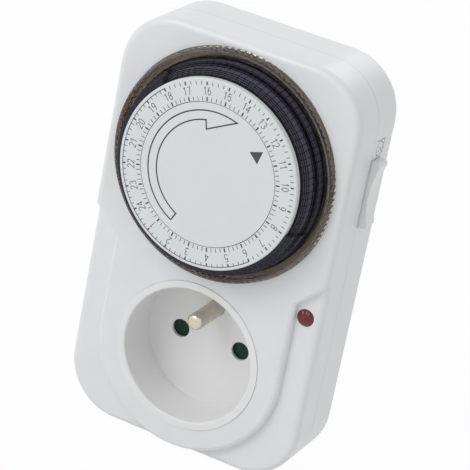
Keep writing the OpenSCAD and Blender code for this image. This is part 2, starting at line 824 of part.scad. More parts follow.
// Plate that carries the dial, the gears, the motor and the follower lever
module mechanism_plate() color(steel) from_front() {
    difference() {
        intersection() {
            plain_slab(wall + 0.6, plate_depth, plate_back);
            bar([-body_w, plate_depth - 1, plate_low], [body_w, plate_back + 1, plate_high]);
        }
        bar([inner_half - 5.4, plate_depth - 1, rocker_height - rocker_window / 2 - 1.5],
            [body_w, plate_back + 1, rocker_height + rocker_window / 2 + 2]);
        bar([switch_mid - switch_w / 2 - 0.2, plate_depth - 1, switch_low - 0.2],
            [switch_mid + switch_w / 2 + 0.2, plate_back + 1, switch_low + switch_h + 0.2]);
        for (p = plate_spots) at_spot(p) rod(plate_screw_r + pass_gap / 2, plate_depth - 1, plate_back + 1);
        for (p = [slow_axis, middle_axis]) at_spot(p) rod(axle_r, plate_depth - 1, plate_back + 1);
        on_dial() rod(post_r - 1, plate_depth - 1, plate_back + 1);
        at_spot(motor_axis) rod(motor_shaft_hole, plate_depth - 1, plate_back + 1);
        for (a = motor_ear_angles) at_spot(motor_axis + polar(motor_r + motor_ear, a))
            rod(plate_screw_r, plate_depth - 1, plate_back + 1);
    }
    for (s = [-1, 1]) lever_ear(s);
}

// Ear that holds one end of the lever's pin
module lever_ear(side) {
    x = lever_pivot[0] + side * (ear_gap + ear_t) / 2;
    difference() {
        union() {
            translate([x, lever_pivot[1], lever_pivot[2]]) rotate([0, 90, 0])
                cylinder(r = 2, h = ear_t, center = true);
            bar([x - ear_t / 2, lever_pivot[1], lever_pivot[2] - 2],
                [x + ear_t / 2, plate_depth + 0.2, lever_pivot[2] + 2]);
        }
        translate([x, lever_pivot[1], lever_pivot[2]]) rotate([0, 90, 0])
            cylinder(r = lever_pin_r, h = ear_t + 1, center = true);
    }
}

module plate_screws() color(steel) from_front()
    for (p = plate_spots) at_spot(p) {
        rod(plate_screw_r, plate_depth - 5, plate_back + 0.2);
        rod(plate_screw_head_r, plate_back, plate_back + plate_screw_head_h);
    }

// Fixed post that the dial turns on
module centre_post() color(steel) from_front() on_dial() {
    rod(post_r, -dial_proud + 1.2, plate_depth);
    rod(hub_outer_r, plate_depth - 1, plate_depth);
    rod(post_r - 1, plate_depth - 1, plate_back);
}

// Dark wheel with its gear ring and a slot for every tappet
module dial_wheel() color(dark_plastic) from_front() on_dial() difference() {
    union() {
        turned() dial_profile();
        plate(dial_gear_depth, dial_gear_depth + dial_gear_t)
            polygon(gear_points(dial_teeth, dial_module, wheel_add, dial_phase));
        rod(hub_outer_r, web_depth, dial_gear_depth + 1);
    }
    rod(post_r + run_gap, web_depth - 1, dial_gear_depth + dial_gear_t + 1);
    for (i = [0:tappet_count - 1]) rotate([0, -tappet_angle(i), 0])
        bar([stem_inner_r - stem_clear, -0.5, -stem_w / 2 - stem_clear],
            [stem_outer_r + stem_clear, flange_depth + 0.5, stem_w / 2 + stem_clear]);
}

function tappet_angle(i) = hour_16_angle + (i + 0.5) * tappet_pitch - 16 * 15;

module dial_profile() {
    seat_r = centre_disc_r + disc_gap;
    gear_r = dial_pitch_r - 4;
    difference() {
        union() {
            translate([0, web_depth]) square([rim_outer_r, web_t]);
            translate([seat_r, ring_back]) square([rim_outer_r - seat_r, web_t]);
            translate([rim_inner_r, ring_back]) square([rim_outer_r - rim_inner_r, flange_depth - ring_back]);
        }
        translate([number_ring_r - skirt_t - run_gap, ring_back - 1]) square([2, skirt_end - ring_back + 1]);
    }
    translate([gear_r, 0]) square([flange_rim_r - gear_r, flange_depth]);
    translate([gear_r, 0]) square([2, dial_gear_depth + 1]);
}

// White ring with a short skirt round the wheel's rim
module number_ring() color(dial_white) from_front() on_dial() turned() polygon([
    [centre_disc_r + disc_gap, -dial_proud], [number_ring_r - ring_edge, -dial_proud],
    [number_ring_r, -dial_proud + ring_edge], [number_ring_r, skirt_end],
    [number_ring_r - skirt_t, skirt_end], [number_ring_r - skirt_t, ring_back],
    [centre_disc_r + disc_gap, ring_back]
]);

// Disc with the pointer, held still by the post
module centre_disc() color(dial_white) from_front() on_dial()
    rod(centre_disc_r, -dial_proud, -dial_proud + 1.2);

// Smoky ring round the tappets, hollow from behind and ribbed for the fingers. A funnel
// falls from its crest to the tappets, and its foot sits on the wheel's flange.
module grip_ring() color(smoke) from_front() on_dial() difference() {
    seat_r = flange_rim_r + seat_gap / 2;
    hollow_r = grip_ring_r - grip_rib_depth - grip_wall;
    high = -grip_ring_h;
    back = flange_depth + 1;
    plate(high, flange_depth) polygon([
        for (k = [0:grip_ribs - 1], half = [0, 1])
            polar(grip_ring_r - half * grip_rib_depth, (k + half / 2) * 360 / grip_ribs)
    ]);
    rod(grip_bore_r, high - 1, 1, $fn = 240);
    rod(seat_r, 0, back, $fn = 240);
    turned($fn = 240) polygon([
        [0, high - 1], [grip_crest_in, high - 1], [grip_crest_in, high],
        [grip_bore_r, -grip_low], [0, -grip_low]
    ]);
    turned($fn = 240) polygon([
        [grip_crest_out, high - 1], [grip_crest_out + 1, high - 1],
        [grip_crest_out + 1, 0], [grip_crest_out, high]
    ]);
    turned($fn = 240) polygon([
        [seat_r, back], [seat_r, funnel_depth(seat_r) + grip_wall],
        [hollow_r, funnel_depth(hollow_r) + grip_wall], [hollow_r, back]
    ]);
}

function funnel_depth(r) =
    -grip_low - (r - grip_bore_r) * (grip_ring_h - grip_low) / (grip_crest_in - grip_bore_r);

// Two hours of tappets. Hours between 8 and 18 are pushed down.
module tappets(hour) color(dark_plastic) from_front() on_dial() {
    down = hour >= first_on_hour && hour < last_on_hour ? tappet_travel : 0;
    for (i = [0:tappets_per_node - 1])
        rotate([0, -tappet_angle(hour * tappets_per_hour + i), 0]) translate([0, down, 0]) tappet();
}

module tappet() {
    angle = tappet_pitch - tappet_gap_angle;
    rotate([0, -angle / 2, 0]) turned(angle) polygon(tappet_section());
    bar([stem_inner_r, head_bottom - 0.5, -stem_w / 2],
        [stem_outer_r, flange_depth + stem_out, stem_w / 2]);
}

function tappet_section() =
    let (inner = rim_outer_r + 0.1, low = head_top + head_steps * head_step_h,
         shelf_r = tappet_r - 1.15, step_r = (shelf_r - inner) / head_steps)
    concat(
        [[inner, head_bottom], [inner, head_top]],
        [for (i = [1:head_steps], j = [0, 1]) [inner + i * step_r, head_top + (i - 1 + j) * head_step_h]],
        [[shelf_r, low + 1.7], [tappet_r - 0.6, low + 1.7],
         [tappet_r - 0.6, low + 3.1], [tappet_r, low + 3.1], [tappet_r, head_bottom]]
    );

module tappets_00_02() color(dark_plastic) tappets(0);
module tappets_02_04() color(dark_plastic) tappets(2);
module tappets_04_06() color(dark_plastic) tappets(4);
module tappets_06_08() color(dark_plastic) tappets(6);
module tappets_08_10() color(dark_plastic) tappets(8);
module tappets_10_12() color(dark_plastic) tappets(10);
module tappets_12_14() color(dark_plastic) tappets(12);
module tappets_14_16() color(dark_plastic) tappets(14);
module tappets_16_18() color(dark_plastic) tappets(16);
module tappets_18_20() color(dark_plastic) tappets(18);
module tappets_20_22() color(dark_plastic) tappets(20);
module tappets_22_24() color(dark_plastic) tappets(22);

// Axle that stands in the mechanism plate
module axle(spot, depth) {
    at_spot(spot) {
        rod(axle_r, depth, plate_back);
        rod(axle_r + 0.8, plate_depth - 0.8, plate_depth);
    }
}

module slow_axle() color(steel) from_front() axle(slow_axis, collar_depth + pass_gap);

module middle_axle() color(steel) from_front() axle(middle_axis, dial_gear_depth + dial_gear_t + pass_gap);

// Wheel and pinion moulded in one piece
module wheel_and_pinion(teeth, wheel_phase, wheel_depth, m, pinion_phase, pinion_y0, pinion_y1) {
    difference() {
        union() {
            plate(wheel_depth, wheel_depth + wheel_t)
                polygon(gear_points(teeth, fine_module, wheel_add, wheel_phase));
            plate(pinion_y0, pinion_y1)
                polygon(gear_points(pinion_teeth, m, pinion_add, pinion_phase));
        }
        rod(axle_r + run_gap, min(pinion_y0, wheel_depth) - 1, plate_depth);
    }
}

module slow_wheel() color(gear_white) from_front() at_spot(slow_axis)
    wheel_and_pinion(slow_teeth, slow_phase, slow_wheel_depth, dial_module,
        slow_pinion_phase, slow_pinion_depth, slow_wheel_depth + 0.2);

module middle_wheel() color(gear_white) from_front() at_spot(middle_axis)
    wheel_and_pinion(middle_teeth, middle_phase, middle_wheel_depth, fine_module,
        middle_pinion_phase, middle_pinion_depth, middle_wheel_depth + 0.2);

// Output pinion of the geared motor, with its shaft
module motor_pinion() color(brass) from_front() at_spot(motor_axis) {
    plate(motor_pinion_depth, motor_pinion_depth + 2.4)
        polygon(gear_points(pinion_teeth, fine_module, pinion_add, motor_phase));
    rod(motor_shaft_r, motor_pinion_depth + 2, motor_depth + 3);
}

// Sealed geared synchronous motor: can with two ears
module motor_can() color(steel) from_front() at_spot(motor_axis) difference() {
    union() {
        rod(motor_r, motor_depth, motor_depth + motor_length - motor_cover_t);
        for (a = motor_ear_angles) rotate([0, -a, 0])
            difference() {
                union() {
                    bar([0, motor_depth, -3], [motor_r + motor_ear, motor_depth + 1, 3]);
                    translate([motor_r + motor_ear, 0, 0]) rod(3, motor_depth, motor_depth + 1);
                }
                translate([motor_r + motor_ear, 0, 0])
                    rod(plate_screw_r + 0.1, motor_depth - 1, motor_depth + 2);
            }
    }
    rod(motor_shaft_r + run_gap, motor_depth - 1, motor_depth + 3.2);
    tube(motor_r - 0.8, motor_r - 5, motor_depth + 2, motor_depth + motor_length);
}

// Coil cover at the back of the motor, with its terminal block
module motor_cover() color(grey_plastic) from_front() at_spot(motor_axis) {
    back = motor_depth + motor_length;
    rod(motor_r, back - motor_cover_t, back);
    rod(motor_r - 6, back - motor_cover_t, back + 0.6);
}

module motor_screws() color(steel) from_front()
    for (a = motor_ear_angles) at_spot(motor_axis + polar(motor_r + motor_ear, a)) {
        rod(plate_screw_r, plate_depth - 1, motor_depth + 1.2);
        rod(plate_screw_head_r, motor_depth + 1, motor_depth + 1 + plate_screw_head_h);
    }

module lever_pin() color(steel) from_front()
    translate(lever_pivot) rotate([0, 90, 0])
        cylinder(r = lever_pin_r, h = ear_gap + 2 * ear_t + 0.6, center = true);

// Lever whose nose feels the stems of the tappets that are pushed down
module follower_lever() color(gear_white) from_front() difference() {
    x0 = nose_spot[0] - lever_w / 2;
    x1 = nose_spot[0] + lever_w / 2;
    union() {
        translate(lever_pivot) rotate([0, 90, 0])
            cylinder(r = 2, h = ear_gap - 2 * pass_gap, center = true);
        bar([x0, lever_depth, lever_pivot[2]], [x1, lever_depth + lever_t, nose_spot[1] + 1]);
        bar([nose_spot[0] - nose_w / 2, nose_depth, nose_spot[1] - 1],
            [nose_spot[0] + nose_w / 2, lever_depth + 0.5, nose_spot[1] + 1]);
    }
    translate(lever_pivot) rotate([0, 90, 0])
        cylinder(r = lever_pin_r + run_gap, h = ear_gap + 2, center = true);
}

// Case of the snap switch
module switch_case() color(dark_plastic) from_front() difference() {
    low = [switch_mid - switch_w / 2, switch_depth, switch_low];
    high = [switch_mid + switch_w / 2, switch_depth + switch_d, switch_low + switch_h];
    skin = [switch_wall, switch_wall, switch_wall];
    bar(low, high);
    bar(low + skin, high - skin);
    at_spot([switch_mid, plunger_height]) rod(plunger_r + run_gap, switch_depth - 1, switch_depth + 2);
    for (z = terminal_heights) translate([switch_mid, high[1], z])
        cube([4.1, 4, 0.7], center = true);
}

terminal_heights = [switch_low + 3, switch_low + switch_h - 3];

// Button of the snap switch, pressed by the lever
module switch_plunger() color(gear_white) from_front() at_spot([switch_mid, plunger_height]) {
    inside = switch_depth + switch_wall + plunger_travel + 0.1;
    rod(plunger_r, plunger_tip, inside + 0.5);
    rod(plunger_flange_r, inside, inside + 0.9);
    rod(0.6, inside, inside + 1.6);
}

// Spring that returns the plunger, and with it the lever
module switch_spring() color(steel) from_front() {
    start = switch_depth + switch_wall + plunger_travel + 1 + spring_strand;
    end = switch_depth + switch_d - switch_wall - spring_strand - 0.02;
    turns = 4;
    translate([switch_mid, start, plunger_height])
        coil(1.2, spring_strand, (end - start) / turns, turns, 40);
}

// Leaf that makes the contact, standing on one terminal
module switch_leaf() color(brass) from_front() {
    top = terminal_heights[1] - 0.35;
    depth = switch_depth + 6.4;
    bar([switch_mid - 2.2, depth, switch_low + 5], [switch_mid - 1.6, depth + 0.3, top]);
    bar([switch_mid - 2.2, depth, top - 0.3], [switch_mid + 1, depth + 0.3, top]);
    bar([switch_mid - 1, depth, top - 0.3], [switch_mid + 1, depth + 1.4, top]);
}

module switch_terminals() color(brass) from_front()
    for (z = terminal_heights)
        bar([switch_mid - 2, switch_depth + 7, z - 0.3],
            [switch_mid + 2, switch_depth + switch_d + 2.2, z + 0.3]);

// Rocker on the side that keeps the socket switched on
module override_rocker() color(shell_white) from_front()
    translate([rocker_pivot_x, 0, rocker_height]) rotate([0, rocker_tilt, 0]) {
        half = rocker_length / 2;
        outer = rocker_face + rocker_proud;
        plate(rocker_front, rocker_back) difference() {
            polygon([
                [-1.5, -half + 2], [rocker_face - 1.2, -half], [outer - 0.5, -half], [outer, -half + 0.6],
                [outer, half - 0.6], [outer - 0.5, half], [rocker_face - 1.2, half], [-1.5, half - 2]
            ]);
            rocker_dish();
        }
        rod(rocker_pin_r, rocker_front - pass_gap - lip_h - rocker_ear_t + 0.1, rocker_front + 0.5);
        rod(rocker_pin_r, rocker_back - 0.5, rocker_back + pass_gap + rocker_ear_t - 0.2);
    }

// Finger dish of the rocker: an arc between its two ends
module rocker_dish() {
    depth = rocker_proud / 2;
    half = rocker_length / 2 - 1.4;
    r = (half * half + depth * depth) / (2 * depth);
    translate([rocker_face + rocker_proud + r - depth, 0]) circle(r, $fn = 96);
}

// Domed lens of the pilot lamp
module lamp_lens() color(lens_red) from_front() at_spot([lamp_x, lamp_height]) {
    dome = 1;
    ball_r = (lamp_r * lamp_r + dome * dome) / (2 * dome);
    front = wing_drop - 0.1;
    turned() {
        intersection() {
            translate([0, front - dome + ball_r]) circle(ball_r);
            translate([0, front - dome]) square([lamp_r, dome + 0.01]);
        }
        square_to(lamp_r, front, wing_drop + wall + 1);
        square_to(lamp_r + 0.5, wing_drop + wall + 1, wing_drop + wall + 1.8);
    }
}

module neon_lamp() color(glass_orange) from_front() at_spot([lamp_x, lamp_height])
    turned() {
        start = wing_drop + wall + 1.8 + seat_gap;
        pin_profile(1.9, start, start + 8, 1.6);
    }

module lamp_resistor() color(wire_brown) from_front()
    at_spot([lamp_x, lamp_height - 7]) rod(1.1, 7, 13);

module lamp_wires() color(wire_blue) from_front() {
    lamp_back = wing_drop + wall + 1.8 + seat_gap + 8;
    wire([[lamp_x, lamp_back + 0.3, lamp_height - 1], [lamp_x, lamp_back + 1, lamp_height - 4],
        [lamp_x, 13.3, lamp_height - 7]], 0.3);
    wire([[lamp_x, 6.7, lamp_height - 7], [lamp_x, 7, lamp_height - 11], [25, wire_depth, 13],
        [15, wire_depth, 16.5], [14.6, wire_depth, 9], [13.4, 26, 3.2],
        [contact_x + 3, 27, 1.5]], 0.3);
    wire([[lamp_x, lamp_back + 0.3, lamp_height + 1], [26, 20, 26], [20, 21.5, 26], [-8, 21.5, 26],
        [-12, wire_depth, 22], [-12, wire_depth, 12], [-11.8, 28, 5], [-contact_x - 1.9, 30, 2.8]], 0.3);
}

// Brown wire from the live plug pin to the switch
module live_supply_wire() color(wire_brown) from_front()
    wire([[contact_x, tail_depth + 0.35, pin_r + 0.4], [10.8, 37.2, 6.2], [12, 34, 8.2], [12, 25.5, 9.2],
        [12, wire_depth, 11.5], [12.5, wire_depth, 22], [13, wire_depth, 50],
        [switch_mid - 2.2, wire_depth, terminal_heights[0]]], 0.6);

// Brown wire from the switch to the live contact
module live_load_wire() color(wire_brown) from_front()
    wire([[contact_x - 0.4, 30, contact_outer_r + 0.4], [8.8, 27, 6.5], [8.8, wire_depth, 11],
        [8.8, wire_depth, 22], [6, wire_depth, 50], [10, wire_depth, 70],
        [switch_mid - 2.2, wire_depth, terminal_heights[1]]], 0.6);

// Two thin wires to the motor's coil
module motor_wires() color(wire_blue) from_front() {
    back = motor_depth + motor_length + 0.8;
    wire([[motor_axis[0] + 1.4, back, motor_axis[1] - 8.8], [-10, wire_depth, 40], [-8.6, wire_depth, 21],
        [-8.6, wire_depth, 12], [-9, 28, 6], [-contact_x, 30, contact_outer_r + 0.2]], 0.35);
    wire([[motor_axis[0] + 5.4, back, motor_axis[1] - 8], [-4, wire_depth, 40], [5.6, wire_depth, 25],
        [6.8, wire_depth, 20], [6.8, wire_depth, 12], [6.8, 28, 9], [6.9, 36, 4.5],
        [contact_x - 1.2, tail_depth + 0.3, 2.1]], 0.35);
}

front_housing();
rear_housing();
housing_screws();
socket_well();
shutter();
shutter_spring();
earth_pin();
earth_strap();
earth_clips();
rear_earth_sleeve();
contact_carrier();
live_contact();
neutral_contact();
plug_end();
live_plug_pin();
neutral_plug_pin();
neutral_link();
mechanism_plate();
plate_screws();
centre_post();
dial_wheel();
number_ring();
centre_disc();
grip_ring();
slow_axle();
slow_wheel();
middle_axle();
middle_wheel();
motor_can();
motor_cover();
motor_screws();
motor_pinion();
lever_pin();
follower_lever();
switch_case();
switch_plunger();
switch_spring();
switch_leaf();
switch_terminals();
override_rocker();
lamp_lens();
neon_lamp();
lamp_resistor();
live_supply_wire();
live_load_wire();
motor_wires();
lamp_wires();
tappets_00_02();
tappets_02_04();
tappets_04_06();
tappets_06_08();
tappets_08_10();
tappets_10_12();
tappets_12_14();
tappets_14_16();
tappets_16_18();
tappets_18_20();
tappets_20_22();
tappets_22_24();
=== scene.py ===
"""A plug-in 24 hour timer switch, dressed piece by piece in the order it is put together.

Everything is in metres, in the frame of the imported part: X to the right, Y from the front
towards the wall and Z up. The origin is the middle of the plug's flat end.
"""
import math

import bmesh
import bpy
from mathutils import Matrix, Vector


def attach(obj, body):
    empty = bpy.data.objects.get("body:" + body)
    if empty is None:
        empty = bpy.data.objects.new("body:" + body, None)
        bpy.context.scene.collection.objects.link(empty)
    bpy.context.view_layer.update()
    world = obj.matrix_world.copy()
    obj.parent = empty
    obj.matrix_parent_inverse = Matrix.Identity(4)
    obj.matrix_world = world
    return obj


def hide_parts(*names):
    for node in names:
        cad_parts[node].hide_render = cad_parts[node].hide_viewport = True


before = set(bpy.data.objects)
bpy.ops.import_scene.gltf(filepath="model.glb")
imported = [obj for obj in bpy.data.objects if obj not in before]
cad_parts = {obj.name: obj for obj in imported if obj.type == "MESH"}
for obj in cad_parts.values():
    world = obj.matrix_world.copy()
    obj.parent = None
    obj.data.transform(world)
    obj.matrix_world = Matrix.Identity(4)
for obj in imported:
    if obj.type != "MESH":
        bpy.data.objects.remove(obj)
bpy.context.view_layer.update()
MM = 0.001

# ---------------------------------------------------------------------------- Housing shells
# The body is two shells of white ABS, injection moulded in a tool with a fine satin finish.
# They meet in a step along the sides, where a narrow shadow line shows all round.
SHELL_WHITE = (0.79, 0.8, 0.81)
PARTING_LINE = -30.3 * MM
PARTING_GAP = 0.13 * MM
CLOUD_LOW = 0.3
CLOUD_HIGH = 0.7
PLASTIC_CLOUDS = 90.0
PLASTIC_IOR = 1.53


def shader_node(material, kind, settings, sockets):
    """A shader node. Each socket is given a value, or the output that feeds it."""
    made = material.node_tree.nodes.new("ShaderNode" + kind)
    for name, value in settings.items():
        setattr(made, name, value)
    for name, value in sockets.items():
        if isinstance(value, bpy.types.NodeSocket):
            material.node_tree.links.new(value, made.inputs[name])
        else:
            made.inputs[name].default_value = value
    return made


def surface_of(material):
    """The material's surface shader."""
    return material.node_tree.nodes["Principled BSDF"]


def tune(material, values):
    """Sets values of the material's surface."""
    for name, value in values.items():
        surface_of(material).inputs[name].default_value = value


def feed(material, name, output):
    """Lets an output drive a socket of the material's surface."""
    material.node_tree.links.new(output, surface_of(material).inputs[name])


def cloudy_colour(material, clouds, dark, light):
    """Fades from the dark to the light colour with the clouds."""
    ramp = shader_node(material, "ValToRGB", {}, {"Fac": clouds})
    low, high = ramp.color_ramp.elements
    low.position, low.color = CLOUD_LOW, (*dark, 1)
    high.position, high.color = CLOUD_HIGH, (*light, 1)
    return ramp.outputs["Color"]


def cloudy_gloss(material, clouds, low, high):
    """Roughness that wanders between two values with the clouds."""
    return shader_node(material, "MapRange", {}, {
        "Value": clouds, "From Min": CLOUD_LOW, "From Max": CLOUD_HIGH,
        "To Min": low, "To Max": high}).outputs["Result"]


def bump(material, height, depth, under=None):
    """Relief of the given depth in metres, on top of another relief if one is given."""
    sockets = {"Height": height, "Strength": 1.0, "Distance": depth}
    if under:
        sockets["Normal"] = under
    return shader_node(material, "Bump", {}, sockets).outputs["Normal"]


def moulded_plastic(name, colour, roughness, grain=0.4 * MM, relief=0.004 * MM, shade=0.03):
    """Moulded plastic: faint clouding of the colour, uneven gloss and a fine satin grain."""
    plastic = bpy.data.materials.new(name)
    plastic.use_nodes = True
    place = shader_node(plastic, "TexCoord", {}, {}).outputs["Object"]
    clouds = shader_node(plastic, "TexNoise", {},
                         {"Vector": place, "Scale": PLASTIC_CLOUDS, "Detail": 3.0})
    satin = shader_node(plastic, "TexNoise", {},
                        {"Vector": place, "Scale": 1 / grain, "Detail": 2.0})
    dark = tuple(part * (1 - shade) for part in colour)
    feed(plastic, "Base Color", cloudy_colour(plastic, clouds.outputs["Fac"], dark, colour))
    feed(plastic, "Roughness",
         cloudy_gloss(plastic, clouds.outputs["Fac"], roughness - 0.05, roughness + 0.05))
    feed(plastic, "Normal", bump(plastic, satin.outputs["Fac"], relief))
    tune(plastic, {"IOR": PLASTIC_IOR})
    return plastic


def finish(material, *names):
    """Gives CAD nodes their material."""
    for name in names:
        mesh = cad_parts[name].data
        mesh.materials.clear()
        mesh.materials.append(material)


def object_axis(material, axis):
    """The distance along one axis of the object's own space."""
    place = shader_node(material, "TexCoord", {}, {}).outputs["Object"]
    return shader_node(material, "SeparateXYZ", {}, {"Vector": place}).outputs[axis]


def paint_over(material, amount, colour):
    """Paints a colour over the base colour, as far as the amount says."""
    under = surface_of(material).inputs["Base Color"].links[0].from_socket
    mixed = shader_node(material, "MixRGB", {},
                        {"Fac": amount, "Color1": under, "Color2": (*colour, 1)})
    feed(material, "Base Color", mixed.outputs["Color"])


shell_abs = moulded_plastic("white_abs", SHELL_WHITE, 0.36)
shell_depth = object_axis(shell_abs, "Y")
on_the_line = shader_node(shell_abs, "Math", {"operation": "COMPARE"},
                          {0: shell_depth, 1: PARTING_LINE, 2: PARTING_GAP}).outputs["Value"]
paint_over(shell_abs, on_the_line, (0.62, 0.62, 0.61))
finish(shell_abs, "rear_housing", "front_housing", "plug_end")

# ---------------------------------------------------------------------------- Plug
# Two solid brass pins, nickel plated and turned to a round tip, are clamped by their collars
# in the end of the plug. Two nickel plated spring blades earth it at the top and bottom.
NICKEL = (0.7, 0.64, 0.54)
METAL_CLOUDS = 260.0
METAL_SHADE = 0.86


def turned_metal(name, colour, roughness, marks=0.25 * MM, relief=0.002 * MM):
    """Plated or bare metal with fine tool marks and cloudy gloss."""
    metal = bpy.data.materials.new(name)
    metal.use_nodes = True
    place = shader_node(metal, "TexCoord", {}, {}).outputs["Object"]
    stretched = shader_node(metal, "Mapping", {}, {"Vector": place, "Scale": (0.15, 1.0, 0.15)})
    clouds = shader_node(metal, "TexNoise", {},
                         {"Vector": place, "Scale": METAL_CLOUDS, "Detail": 4.0})
    tool = shader_node(metal, "TexNoise", {}, {
        "Vector": stretched.outputs["Vector"], "Scale": 1 / marks, "Detail": 2.0})
    dark = tuple(part * METAL_SHADE for part in colour)
    feed(metal, "Base Color", cloudy_colour(metal, clouds.outputs["Fac"], dark, colour))
    feed(metal, "Roughness",
         cloudy_gloss(metal, clouds.outputs["Fac"], roughness - 0.06, roughness + 0.08))
    feed(metal, "Normal", bump(metal, tool.outputs["Fac"], relief))
    tune(metal, {"Metallic": 1.0})
    return metal


nickel_plate = turned_metal("nickel_plate", NICKEL, 0.24)
finish(nickel_plate, "live_plug_pin", "neutral_plug_pin", "earth_clips", "earth_pin")

# ---------------------------------------------------------------------------- Contacts
# The contact sleeves, the strap that joins all earth parts and the sleeve for the wall
# outlet's earth pin are pressed and drawn from bare brass, and sit on a grey moulded disc.
BRASS = (0.68, 0.5, 0.22)

bare_brass = turned_metal("bare_brass", BRASS, 0.3)
finish(bare_brass, "rear_earth_sleeve", "earth_strap", "neutral_link", "live_contact",
       "neutral_contact")
grey_nylon = moulded_plastic("grey_nylon", (0.27, 0.28, 0.3), 0.5)
finish(grey_nylon, "contact_carrier")

# ---------------------------------------------------------------------------- Shutter
# A dark green polycarbonate paddle turns behind the floor and covers both contact holes.
# A spring of fine steel wire on its pivot turns it back.
green_polycarbonate = moulded_plastic("green_polycarbonate", (0.003, 0.031, 0.019), 0.28)
tune(green_polycarbonate, {"Specular IOR Level": 0.2})
finish(green_polycarbonate, "shutter")
spring_steel = turned_metal("spring_steel", (0.5, 0.5, 0.52), 0.3, marks=0.1 * MM)
finish(spring_steel, "shutter_spring")

# ---------------------------------------------------------------------------- Socket well
# The round well is a separate insert of warmer white plastic, clamped between the shells.
# Its floor still shows the faint turned rings of the mould.
WAVE_LENGTH = 0.314  # A wave texture of scale 1 repeats after this
WELL_RING_PITCH = 5.709 * MM


def turn_rings(material, middle_z, pitch, depth):
    """Lays shallow rings about an axis along Y over the relief, as its mould was turned."""
    place = shader_node(material, "TexCoord", {}, {}).outputs["Object"]
    centred = shader_node(material, "Mapping", {}, {"Vector": place, "Location": (0, 0, -middle_z)})
    rings = shader_node(material, "TexWave", {
        "wave_type": "RINGS", "rings_direction": "Y", "wave_profile": "SIN"},
        {"Vector": centred.outputs["Vector"], "Scale": WAVE_LENGTH / pitch, "Distortion": 0.0})
    under = surface_of(material).inputs["Normal"].links[0].from_socket
    feed(material, "Normal", bump(material, rings.outputs["Fac"], depth, under))


well_plastic = moulded_plastic("insert_plastic", (0.82, 0.825, 0.822), 0.42)
turn_rings(well_plastic, 0, WELL_RING_PITCH, 0.004 * MM)
finish(well_plastic, "socket_well")

# ---------------------------------------------------------------------------- Mechanism
# A zinc plated steel plate carries the post of the dial, two pressed in axles and the lever's
# pin. Four screws hold it on posts of the front shell, and four more close the housing.
zinc_plate = turned_metal("zinc_plate", (0.55, 0.56, 0.58), 0.34)
finish(zinc_plate, "mechanism_plate", "centre_post", "slow_axle", "middle_axle", "lever_pin",
       "plate_screws", "motor_screws", "housing_screws")

# ---------------------------------------------------------------------------- Gears and lever
# The two wheels, each with its pinion, the follower lever and the switch's button are moulded
# in natural acetal, which is milky and slightly waxy.
natural_acetal = moulded_plastic("natural_acetal", (0.8, 0.79, 0.73), 0.42)
tune(natural_acetal, {"Subsurface Weight": 0.15, "Subsurface Scale": 0.6 * MM})
finish(natural_acetal, "slow_wheel", "middle_wheel", "follower_lever", "switch_plunger")

# ---------------------------------------------------------------------------- Motor
# The small synchronous motor is sealed in a drawn steel can with a moulded cover over its
# coil, and drives the train with a brass pinion.
finish(zinc_plate, "motor_can")
finish(grey_nylon, "motor_cover")
finish(bare_brass, "motor_pinion")

# ---------------------------------------------------------------------------- Snap switch
# A black phenolic case holds the brass leaf and terminals, and a steel spring under the
# button.
black_phenolic = moulded_plastic("black_phenolic", (0.02, 0.02, 0.022), 0.4, shade=0.2)
finish(black_phenolic, "switch_case")
finish(bare_brass, "switch_leaf", "switch_terminals")
finish(spring_steel, "switch_spring")

# ---------------------------------------------------------------------------- Wiring and lamp
# Copper wires in brown and blue PVC join the plug, the switch, the motor and the lamp.
# The neon lamp is clear glass with an orange glow, and its resistor has coloured bands.
BAND_PITCH = 1.2 * MM
BAND_WIDTH = 0.3 * MM

finish(moulded_plastic("brown_pvc", (0.13, 0.055, 0.025), 0.45, shade=0.15),
       "live_supply_wire", "live_load_wire")
finish(moulded_plastic("blue_pvc", (0.03, 0.09, 0.38), 0.45, shade=0.15),
       "motor_wires", "lamp_wires")
resistor_lacquer = moulded_plastic("resistor_lacquer", (0.55, 0.42, 0.27), 0.3)
bands = shader_node(resistor_lacquer, "Math", {"operation": "PINGPONG"},
                    {0: object_axis(resistor_lacquer, "Y"), 1: BAND_PITCH})
banded = shader_node(resistor_lacquer, "Math", {"operation": "LESS_THAN"},
                     {0: bands.outputs["Value"], 1: BAND_WIDTH})
paint_over(resistor_lacquer, banded.outputs["Value"], (0.3, 0.05, 0.03))
finish(resistor_lacquer, "lamp_resistor")
lamp_glass = moulded_plastic("lamp_glass", (0.9, 0.5, 0.3), 0.1)
tune(lamp_glass, {"Transmission Weight": 0.6})
finish(lamp_glass, "neon_lamp")

# ---------------------------------------------------------------------------- Pilot lens
# The lens is pressed into its hole from the back. It is moulded in deep red acrylic, with a
# ring of flutes round its dome that break up the light.
LENS_SPOT = Vector((31.0, -40.3, 22.8)) * MM
LENS_R = 2.4 * MM
LENS_FLUTES = 16
LENS_STEPS = 4 * LENS_FLUTES
FLUTE_DEPTH = 0.13 * MM
FLUTE_INNER_R = 0.5 * MM
FLUTE_OUTER_Y = -0.3 * MM


def object_of(bm, name, body, slot, material, *replaced):
    """Makes the finished mesh a piece that rides on a body, and frees the bmesh.

    The piece may take the place of CAD nodes that are named last.
    """
    bmesh.ops.recalc_face_normals(bm, faces=bm.faces)
    mesh = bpy.data.meshes.new(name)
    bm.to_mesh(mesh)
    bm.free()
    mesh.materials.append(material)
    piece = bpy.data.objects.new(name, mesh)
    bpy.context.collection.objects.link(piece)
    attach(piece, body)
    if replaced:
        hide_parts(*replaced)


